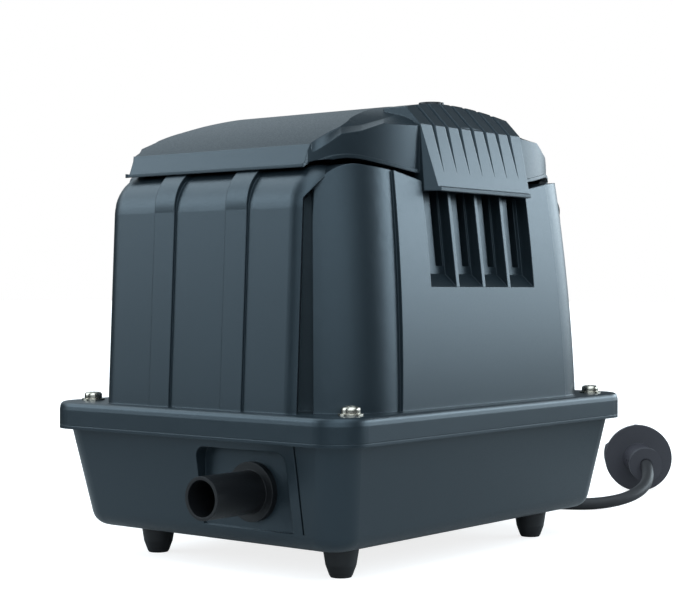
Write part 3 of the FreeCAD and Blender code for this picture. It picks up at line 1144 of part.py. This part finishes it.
tank = block("tank", ("dim.tank_low_x", "dim.tank_low_y", "dim.tank_low_z"),
             ("dim.tank_high_x", "dim.tank_high_y", "dim.tank_high_z"))
tank_room = block("tank_room",
                  ("dim.tank_low_x + dim.tank_wall", "dim.tank_low_y + dim.tank_wall",
                   "dim.tank_low_z + dim.tank_wall"),
                  ("dim.tank_high_x - dim.tank_wall", "dim.tank_high_y - dim.tank_wall",
                   "dim.tank_high_z - dim.tank_wall"))
tank_outlet = rod("tank_outlet", "dim.nozzle_tail_radius + dim.nozzle_hole_gap", "10",
                  (nozzle_at[0], "dim.tank_low_y - 2", nozzle_at[1]), "y")
tank_top = rod("tank_top_inlet", "dim.hose_radius", "10",
               ("0", "-dim.spigot_y", "dim.tank_high_z - dim.hose_seat"))
tank_top_bore = rod("tank_top_bore", "dim.hose_bore", "10", ("0", "-dim.spigot_y", "dim.tank_high_z - 6"))
tank_back = rod("tank_back_bore", "dim.hose_bore", "10", ("0", "dim.tank_high_y - 6", "dim.hose_low_z"), "y")
sub_part("air_chamber", cut("tank_shell", tank, tank_room, tank_outlet, tank_top, tank_top_bore, tank_back))

hose_top = "dim.axis_z - dim.cover_half"
short = rod("short_hose", "dim.hose_radius", "%s - dim.tank_high_z + dim.hose_seat" % hose_top,
            ("0", "-dim.spigot_y", "dim.tank_high_z - dim.hose_seat"))
short_bore = rod("short_hose_bore", "dim.hose_bore", "40", ("0", "-dim.spigot_y", "dim.tank_high_z - 8"))
sub_part("air_hose_front", cut("hose_front", short, short_bore))

bend, level = d("hose_bend"), d("hose_low_z")
rear_y, top_z = d("spigot_y"), d("axis_z") - d("cover_half")
k = bend * math.sqrt(0.5)
hose_edges = [Part.LineSegment(Vector(0, rear_y, top_z), Vector(0, rear_y, level + bend)).toShape(),
              Part.Arc(Vector(0, rear_y, level + bend), Vector(0, rear_y - bend + k, level + bend - k),
                       Vector(0, rear_y - bend, level)).toShape(),
              Part.LineSegment(Vector(0, rear_y - bend, level), Vector(0, d("tank_high_y"), level)).toShape()]
hose_path = Part.Wire(hose_edges)
hose_rings = [Part.Wire(Part.Circle(Vector(0, rear_y, top_z), Vector(0, 0, 1), radius).toShape())
              for radius in (d("hose_radius"), d("hose_bore"))]
hose_solids = [hose_path.makePipeShell([ring], True, False) for ring in hose_rings]
sub_part("air_hose_rear", formed("hose_rear", hose_solids[0].cut(hose_solids[1])))

terminal = block("terminal", ("dim.terminal_low_x", "dim.terminal_low_y", "dim.terminal_low_z"),
                 ("dim.terminal_high_x", "dim.terminal_high_y", "dim.terminal_high_z"))
terminal_tools = [rod("terminal_screw_%d" % i, "dim.terminal_screw", "6",
                      ("dim.terminal_low_x + (%d + 0.5) * dim.terminal_pitch" % i,
                       "(dim.terminal_low_y + dim.terminal_high_y) / 2", "dim.terminal_high_z - 4"))
                  for i in range(3)]
sub_part("terminal_block", cut("terminal_body", terminal, *terminal_tools))

# ---------------------------------------------------------------- build: mains lead

outward = Vector(0, 1, 0)
relief_foot = Vector(-d("relief_x"), d("relief_pad_y"), d("relief_z"))
relief_collar = Part.makeCylinder(d("relief_collar_radius"), d("relief_collar"), relief_foot, outward)
relief_sleeve = Part.makeCone(d("relief_base_radius"), d("relief_tip_radius"),
                              d("relief_length") - d("relief_collar"),
                              relief_foot + outward * d("relief_collar"), outward)
relief_neck = Part.makeCylinder(d("relief_neck_radius"), d("relief_tail"),
                                relief_foot - outward * d("relief_tail"), outward)
relief_shape = relief_sleeve.fuse([relief_collar, relief_neck])
sub_part("cord_strain_relief", formed("strain_relief", relief_shape))

drop = tube(CORD_DROP, d("cord_radius"))
run = tube(CORD_TAIL, d("cord_radius"))
sub_part("mains_cord", formed("lead", Part.makeCompound([drop, run])))
sub_part("cord_coil", formed("coil", make_coil()))

for label, shape in (("plug_body", make_plug_body()), ("plug_pins", make_plug_pins()),
                     ("plug_earth_contacts", make_earth_contacts())):
    piece = formed(label + "_shape", shape)
    plug_place(piece)
    piece.Label = label
    NODES.append(piece)

# ---------------------------------------------------------------- check and write

doc.recompute()
for thing in doc.Objects:
    bad = [state for state in thing.State if state in ("Invalid", "Error")]
    if bad:
        raise RuntimeError("%s (%s) is %s" % (thing.Name, thing.Label, bad))
os.makedirs("parts", exist_ok=True)
for node in NODES:
    if node.Shape.isNull() or not node.Shape.isValid():
        raise RuntimeError("%s has no valid shape" % node.Label)
    node.Shape.exportStep("parts/%s.step" % node.Label)
    box = node.Shape.optimalBoundingBox(False)
    print("%-24s solids %d  volume %9.0f  x %.1f..%.1f y %.1f..%.1f z %.1f..%.1f" % (
        node.Label, len(node.Shape.Solids), node.Shape.Volume, box.XMin, box.XMax, box.YMin, box.YMax,
        box.ZMin, box.ZMax))
print("%d sub-parts" % len(NODES))
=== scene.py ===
"""Looks for the pond air pump: camera, every material, mains lead, floor and light."""
import json
import math

import bpy
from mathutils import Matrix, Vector


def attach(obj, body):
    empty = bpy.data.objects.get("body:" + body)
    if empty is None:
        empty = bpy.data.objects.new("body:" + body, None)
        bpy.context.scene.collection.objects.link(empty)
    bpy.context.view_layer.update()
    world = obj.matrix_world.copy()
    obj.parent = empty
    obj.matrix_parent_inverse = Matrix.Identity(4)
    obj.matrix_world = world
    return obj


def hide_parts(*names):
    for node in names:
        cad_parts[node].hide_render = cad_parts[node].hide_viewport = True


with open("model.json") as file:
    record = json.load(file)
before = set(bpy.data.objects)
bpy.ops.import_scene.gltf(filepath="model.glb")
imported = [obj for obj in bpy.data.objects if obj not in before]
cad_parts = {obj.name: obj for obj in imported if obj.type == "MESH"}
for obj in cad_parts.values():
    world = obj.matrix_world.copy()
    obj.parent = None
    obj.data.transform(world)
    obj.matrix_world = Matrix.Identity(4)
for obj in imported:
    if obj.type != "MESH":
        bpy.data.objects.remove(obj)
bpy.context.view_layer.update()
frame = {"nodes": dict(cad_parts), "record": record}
NODES = frame["nodes"]
scene = bpy.context.scene

MM = 0.001


def mm(*values):
    """A point given in millimetres, in metres."""
    return Vector([v * MM for v in values])


# ------------------------------------------------------------------ camera

CAMERA_PLACE = mm(484.7, -599.9, 119.8)
CAMERA_HEADING = Vector((-0.628, 0.778, -0.0052))
CAMERA_LENS = 87.4
SENSOR_WIDTH = 36.0
NEAREST_SEEN = 0.01


def add_camera():
    data = bpy.data.cameras.new("camera")
    data.lens = CAMERA_LENS
    data.sensor_width = SENSOR_WIDTH
    data.clip_start = NEAREST_SEEN
    camera = bpy.data.objects.new("camera", data)
    camera.location = CAMERA_PLACE
    camera.rotation_euler = CAMERA_HEADING.to_track_quat("-Z", "Y").to_euler()
    scene.collection.objects.link(camera)
    scene.camera = camera


add_camera()

# ------------------------------------------------------------------ node-tree helper


class Shader:
    """Builds one procedural material, node by node."""

    def __init__(self, name, roughness=0.5, metallic=0.0, specular=0.5, tint=(1, 1, 1)):
        self.material = bpy.data.materials.new(name)
        self.material.use_nodes = True
        self.tree = self.material.node_tree
        self.surface = self.tree.nodes["Principled BSDF"]
        self.surface.inputs["Roughness"].default_value = roughness
        self.surface.inputs["Metallic"].default_value = metallic
        self.surface.inputs["Specular IOR Level"].default_value = specular
        self.surface.inputs["Specular Tint"].default_value = (*tint, 1)
        self.place = self.add("ShaderNodeTexCoord").outputs["Object"]

    def add(self, kind, **values):
        node = self.tree.nodes.new(kind)
        for key, value in values.items():
            setattr(node, key, value)
        return node

    def link(self, source, target):
        self.tree.links.new(source, target)

    def noise(self, scale, detail=2.0, roughness=0.5, stretch=(1, 1, 1)):
        mapping = self.add("ShaderNodeMapping")
        mapping.inputs["Scale"].default_value = stretch
        self.link(self.place, mapping.inputs["Vector"])
        node = self.add("ShaderNodeTexNoise")
        node.inputs["Scale"].default_value = scale
        node.inputs["Detail"].default_value = detail
        node.inputs["Roughness"].default_value = roughness
        self.link(mapping.outputs["Vector"], node.inputs["Vector"])
        return node.outputs["Fac"]

    def ramp(self, factor, stops):
        node = self.add("ShaderNodeValToRGB")
        ramp = node.color_ramp
        while len(ramp.elements) < len(stops):
            ramp.elements.new(0.5)
        for element, (position, colour) in zip(ramp.elements, stops):
            element.position = position
            element.color = (*colour, 1)
        self.link(factor, node.inputs["Fac"])
        return node.outputs["Color"]

    def span(self, factor, low, high, start=0.0, end=1.0):
        node = self.add("ShaderNodeMapRange")
        node.inputs["From Min"].default_value = start
        node.inputs["From Max"].default_value = end
        node.inputs["To Min"].default_value = low
        node.inputs["To Max"].default_value = high
        self.link(factor, node.inputs["Value"])
        return node.outputs["Result"]

    def colour(self, source):
        self.link(source, self.surface.inputs["Base Color"])

    def rough(self, source):
        self.link(source, self.surface.inputs["Roughness"])

    def bump(self, height, distance, strength=1.0, normal=None):
        node = self.add("ShaderNodeBump")
        node.inputs["Distance"].default_value = distance
        node.inputs["Strength"].default_value = strength
        self.link(height, node.inputs["Height"])
        if normal is not None:
            self.link(normal, node.inputs["Normal"])
        return node.outputs["Normal"]

    def rounded_edges(self, radius):
        node = self.add("ShaderNodeBevel", samples=4)
        node.inputs["Radius"].default_value = radius
        return node.outputs["Normal"]

    def normal(self, source):
        self.link(source, self.surface.inputs["Normal"])


def shade(colour, factor):
    """A colour made darker or lighter."""
    return tuple(part * factor for part in colour)


# ------------------------------------------------------------------ materials


def moulded_plastic(name, colour, roughness, grain=2600.0, grain_depth=0.00005, edge=0.0006,
                    tint=(1, 1, 1), specular=0.5):
    """Spark-eroded moulded plastic: fine grain, faint flow clouds, softly worn edges."""
    s = Shader(name, roughness, 0.0, specular, tint)
    clouds = s.noise(14.0, 3.0, 0.55)
    s.colour(s.ramp(clouds, [(0.3, shade(colour, 0.93)), (0.7, shade(colour, 1.07))]))
    speckle = s.noise(grain * 0.5, 2.0, 0.6)
    s.rough(s.span(speckle, roughness - 0.06, roughness + 0.06, 0.3, 0.7))
    fine = s.noise(grain, 2.0, 0.7)
    edges = s.rounded_edges(edge)
    s.normal(s.bump(fine, grain_depth, 0.6, edges))
    return s.material


def rubber(name, colour, roughness=0.62, grain=1500.0):
    s = Shader(name, roughness, 0.0, 0.4)
    dust = s.noise(60.0, 4.0, 0.6)
    s.colour(s.ramp(dust, [(0.35, shade(colour, 0.85)), (0.75, shade(colour, 1.35))]))
    s.rough(s.span(dust, roughness - 0.05, roughness + 0.1, 0.3, 0.8))
    fine = s.noise(grain, 2.0, 0.6)
    s.normal(s.bump(fine, 0.00004, 0.5, s.rounded_edges(0.0004)))
    return s.material


def metal(name, colour, roughness, brush=(1, 1, 1), scratch=900.0, depth=0.00002):
    s = Shader(name, roughness, 1.0)
    smudge = s.noise(220.0, 3.0, 0.5)
    s.colour(s.ramp(smudge, [(0.3, shade(colour, 0.9)), (0.7, colour)]))
    lines = s.noise(scratch, 3.0, 0.6, brush)
    s.rough(s.span(lines, roughness - 0.07, roughness + 0.1, 0.3, 0.7))
    s.normal(s.bump(lines, depth, 0.4, s.rounded_edges(0.0002)))
    return s.material


def foam(name, colour):
    s = Shader(name, 0.95, 0.0, 0.2)
    cells = s.add("ShaderNodeTexVoronoi", feature="DISTANCE_TO_EDGE")
    cells.inputs["Scale"].default_value = 620.0
    s.link(s.place, cells.inputs["Vector"])
    # painted shade: the pore centres are painted darker and the cell walls lighter, as shade falls into the
    # open foam pores
    s.colour(s.ramp(cells.outputs["Distance"], [(0.02, shade(colour, 1.6)), (0.22, shade(colour, 0.35))]))
    s.normal(s.bump(cells.outputs["Distance"], 0.0006, 0.8))
    return s.material


def laminations(name, colour):
    """Stacked electrical sheet, one band every half millimetre."""
    s = Shader(name, 0.45, 0.7)
    wave = s.add("ShaderNodeTexWave", bands_direction="Z")
    wave.inputs["Scale"].default_value = 320.0
    wave.inputs["Distortion"].default_value = 0.1
    s.link(s.place, wave.inputs["Vector"])
    s.colour(s.ramp(wave.outputs["Fac"], [(0.1, shade(colour, 0.5)), (0.5, colour)]))
    s.normal(s.bump(wave.outputs["Fac"], 0.00008, 0.6))
    return s.material


def windings(name, colour):
    """Enamelled wire laid turn beside turn."""
    s = Shader(name, 0.3, 0.9)
    wave = s.add("ShaderNodeTexWave", bands_direction="X")
    wave.inputs["Scale"].default_value = 420.0
    s.link(s.place, wave.inputs["Vector"])
    # painted shade: the grooves between the round wire turns are painted darker, where shade falls between
    # turns
    s.colour(s.ramp(wave.outputs["Fac"], [(0.05, shade(colour, 0.3)), (0.5, colour)]))
    s.normal(s.bump(wave.outputs["Fac"], 0.0002, 0.9))
    return s.material


CASING = (0.009, 0.0135, 0.017)
CASING_TINT = (0.71, 0.88, 1.0)
MATERIALS = {
    "casing_plastic": moulded_plastic("casing_plastic", CASING, 0.34, tint=CASING_TINT),
    "foot_rubber": rubber("foot_rubber", (0.012, 0.012, 0.013), 0.5),
    "seal_rubber": rubber("seal_rubber", (0.014, 0.014, 0.015)),
    "screw_steel": metal("screw_steel", (0.52, 0.48, 0.41), 0.22),
    "nozzle_plastic": moulded_plastic("nozzle_plastic", (0.004, 0.0042, 0.005), 0.42, 2200.0, specular=0.3),
    "knob_plastic": moulded_plastic("knob_plastic", (0.012, 0.013, 0.015), 0.4),
    "filter_foam": foam("filter_foam", (0.05, 0.05, 0.055)),
    "inner_plastic": moulded_plastic("inner_plastic", (0.02, 0.021, 0.023), 0.5),
    "core_steel": laminations("core_steel", (0.22, 0.23, 0.24)),
    "winding_copper": windings("winding_copper", (0.55, 0.22, 0.09)),
    "inner_steel": metal("inner_steel", (0.55, 0.55, 0.56), 0.35, (1, 8, 1)),
    "head_aluminium": metal("head_aluminium", (0.58, 0.59, 0.6), 0.5, (1, 1, 1), 500.0, 0.00006),
    "magnet_ferrite": rubber("magnet_ferrite", (0.03, 0.03, 0.032), 0.7),
    "hose_rubber": rubber("hose_rubber", (0.014, 0.014, 0.014), 0.55),
    "cord_rubber": rubber("cord_rubber", (0.013, 0.0125, 0.014), 0.55),
    "plug_rubber": moulded_plastic("plug_rubber", (0.024, 0.022, 0.029), 0.5, 2000.0, 0.00006),
    "plug_nickel": metal("plug_nickel", (0.72, 0.70, 0.67), 0.2, (1, 1, 1), 1200.0),
}


def dress(thing, slot):
    """Give a piece its one material."""
    thing.data.materials.clear()
    thing.data.materials.append(MATERIALS[slot])
    return thing


def dress_frame():
    for entry in frame["record"]["subparts"]:
        dress(NODES[entry["node"]], entry["material_slot"])


# ------------------------------------------------------------------ mains lead

CORD_RADIUS = 3.25
CORD_FACETS = 5
CORD_SMOOTHNESS = 8
CORD_DROP = [(-45, 144, 30), (-45.3, 162, 28), (-45.6, 182, 17.8), (-45.2, 202, 11.4)]
CORD_TAIL = [(-60, 176, 3.3), (-35, 177.5, 3.3), (-10, 176.2, 3.3), (14.2, 176, 3.3),
             (33.3, 187.6, 3.4), (43.6, 207.4, 6.5), (42.1, 229.8, 13.6), (29.5, 247.8, 19.75)]
COIL_CENTRE = (-87.5, 219)
COIL_OUTER = 42.5
COIL_INNER = 29.5
COIL_TOP = 9.8
COIL_GROUND = 3.3
COIL_STEPS = 16
COIL_TURNS = 5.75


def coil_points():
    """Top layer winding inwards, then the layer on the ground winding outwards."""
    points = []
    total = int(COIL_TURNS * COIL_STEPS)
    half = total / 2
    for i in range(total + 1):
        angle = 2 * math.pi * i / COIL_STEPS
        inward = i / half if i <= half else (total - i) / half
        radius = COIL_OUTER + (COIL_INNER - COIL_OUTER) * inward
        drop = min(1.0, max(0.0, (i - half + COIL_STEPS / 2) / COIL_STEPS))
        height = COIL_TOP + (COIL_GROUND - COIL_TOP) * drop
        points.append((COIL_CENTRE[0] + radius * math.cos(angle),
                       COIL_CENTRE[1] + radius * math.sin(angle), height))
    return points


def add_cord():
    curve = bpy.data.curves.new("mains_lead", "CURVE")
    curve.dimensions = "3D"
    curve.bevel_depth = CORD_RADIUS * MM
    curve.bevel_resolution = CORD_FACETS
    curve.resolution_u = CORD_SMOOTHNESS
    curve.use_fill_caps = True
    route = CORD_DROP + coil_points() + CORD_TAIL
    spline = curve.splines.new("NURBS")
    spline.points.add(len(route) - 1)
    for point, place in zip(spline.points, route):
        point.co = (*mm(*place), 1)
    spline.order_u = 3
    spline.use_endpoint_u = True
    lead = bpy.data.objects.new("mains_lead", curve)
    scene.collection.objects.link(lead)
    curve.materials.append(MATERIALS["cord_rubber"])
    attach(lead, "casing")
    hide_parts("mains_cord", "cord_coil")
    return lead


dress_frame()
lead = add_cord()

# ------------------------------------------------------------------ floor and light

FLOOR_SIZE = 30
FLOOR_SEEN = 0.80
FLOOR_LIT = 0.5
FLOOR_NEAR = 0.52
FLOOR_FAR = 0.03
FLOOR_NEAR_EDGE = 0.22
FLOOR_FAR_EDGE = 0.5
AMBIENT = 0.16
HORIZON_LOW = -0.06
HORIZON_HIGH = 0.30
HORIZON_DIM = 0.08
LIGHT_COLOUR = (0.79, 0.93, 1.02)
# each soft box: direction towards it, inner and outer edge in degrees, radiance
SOFT_BOXES = [
    ((0.64, 0.76, 0.10), 6, 27, 10.0),
    ((0.10, 0.97, 0.13), 4, 22, 8.0),
    ((-0.70, -0.67, 0.24), 6, 26, 5.3),
    ((-0.66, -0.22, 0.72), 8, 30, 3.1),
    ((-0.76, 0.50, 0.42), 6, 26, 0.60),
    ((0.30, -0.12, 0.95), 5, 38, 3.0),
    ((0.63, -0.76, 0.25), 10, 50, 2.9),
]


def seen_only(tree, seen, unseen, target):
    """Join two shaders so that only the camera itself sees the first."""
    path = tree.nodes.new("ShaderNodeLightPath")
    mix = tree.nodes.new("ShaderNodeMixShader")
    tree.links.new(path.outputs["Is Camera Ray"], mix.inputs["Fac"])
    tree.links.new(unseen, mix.inputs[1])
    tree.links.new(seen, mix.inputs[2])
    tree.links.new(mix.outputs[0], target)


def add_floor():
    """A pale floor, whose bounce on the object is as weak as a distant studio sweep's."""
    bpy.ops.mesh.primitive_plane_add(size=FLOOR_SIZE, location=(0, 0, 0))
    floor = bpy.context.object
    floor.name = "floor"
    material = bpy.data.materials.new("floor_white")
    material.use_nodes = True
    tree = material.node_tree
    tree.nodes.clear()
    output = tree.nodes.new("ShaderNodeOutputMaterial")
    glow = tree.nodes.new("ShaderNodeEmission")
    glow.inputs["Color"].default_value = (FLOOR_SEEN, FLOOR_SEEN, FLOOR_SEEN, 1)
    lit = tree.nodes.new("ShaderNodeBsdfDiffuse")
    lit.inputs["Color"].default_value = (FLOOR_LIT, FLOOR_LIT, FLOOR_LIT, 1)
    seen = tree.nodes.new("ShaderNodeAddShader")
    tree.links.new(glow.outputs[0], seen.inputs[0])
    tree.links.new(lit.outputs[0], seen.inputs[1])
    # painted pool of bounce light: for every ray but the camera's, the floor is painted from FLOOR_NEAR
    # near the object down to FLOOR_FAR further out
    place = tree.nodes.new("ShaderNodeTexCoord").outputs["Object"]
    away = tree.nodes.new("ShaderNodeVectorMath")
    away.operation = "LENGTH"
    tree.links.new(place, away.inputs[0])
    fall = tree.nodes.new("ShaderNodeMapRange")
    fall.interpolation_type = "SMOOTHSTEP"
    fall.inputs["From Min"].default_value = FLOOR_NEAR_EDGE
    fall.inputs["From Max"].default_value = FLOOR_FAR_EDGE
    fall.inputs["To Min"].default_value = FLOOR_NEAR
    fall.inputs["To Max"].default_value = FLOOR_FAR
    tree.links.new(away.outputs["Value"], fall.inputs["Value"])
    bounce = tree.nodes.new("ShaderNodeBsdfDiffuse")
    tree.links.new(fall.outputs["Result"], bounce.inputs["Color"])
    seen_only(tree, seen.outputs[0], bounce.outputs[0], output.inputs["Surface"])
    floor.data.materials.append(material)


def soft_box(tree, direction, toward, inner, outer, radiance):
    """Radiance of one soft box in every direction, as a node output."""
    dot = tree.nodes.new("ShaderNodeVectorMath")
    dot.operation = "DOT_PRODUCT"
    dot.inputs[1].default_value = Vector(toward).normalized()
    tree.links.new(direction, dot.inputs[0])
    edge = tree.nodes.new("ShaderNodeMapRange")
    edge.interpolation_type = "SMOOTHSTEP"
    edge.inputs["From Min"].default_value = math.cos(math.radians(outer))
    edge.inputs["From Max"].default_value = math.cos(math.radians(inner))
    edge.inputs["To Max"].default_value = radiance
    tree.links.new(dot.outputs["Value"], edge.inputs["Value"])
    return edge.outputs["Result"]


def add_light():
    """A white sweep behind the object, and soft boxes that light it."""
    world = bpy.data.worlds.new("studio")
    world.use_nodes = True
    tree = world.node_tree
    sweep = tree.nodes["Background"]
    sweep.inputs["Color"].default_value = (1, 1, 1, 1)
    direction = tree.nodes.new("ShaderNodeTexCoord").outputs["Generated"]
    total = None
    for toward, inner, outer, radiance in SOFT_BOXES:
        box = soft_box(tree, direction, toward, inner, outer, radiance)
        add = tree.nodes.new("ShaderNodeMath")
        add.inputs[1].default_value = AMBIENT
        if total is not None:
            tree.links.new(total, add.inputs[1])
        tree.links.new(box, add.inputs[0])
        total = add.outputs[0]
    height = tree.nodes.new("ShaderNodeSeparateXYZ")
    tree.links.new(direction, height.inputs[0])
    horizon = tree.nodes.new("ShaderNodeMapRange")
    horizon.inputs["From Min"].default_value = HORIZON_LOW
    horizon.inputs["From Max"].default_value = HORIZON_HIGH
    horizon.inputs["To Min"].default_value = HORIZON_DIM
    tree.links.new(height.outputs["Z"], horizon.inputs["Value"])
    dimmed = tree.nodes.new("ShaderNodeMath")
    dimmed.operation = "MULTIPLY"
    tree.links.new(total, dimmed.inputs[0])
    tree.links.new(horizon.outputs["Result"], dimmed.inputs[1])
    total = dimmed.outputs[0]
    boxes = tree.nodes.new("ShaderNodeBackground")
    boxes.inputs["Color"].default_value = (*LIGHT_COLOUR, 1)
    tree.links.new(total, boxes.inputs["Strength"])
    seen_only(tree, sweep.outputs[0], boxes.outputs[0], tree.nodes["World Output"].inputs["Surface"])
    scene.world = world
    scene.view_settings.view_transform = "Standard"


add_floor()
add_light()
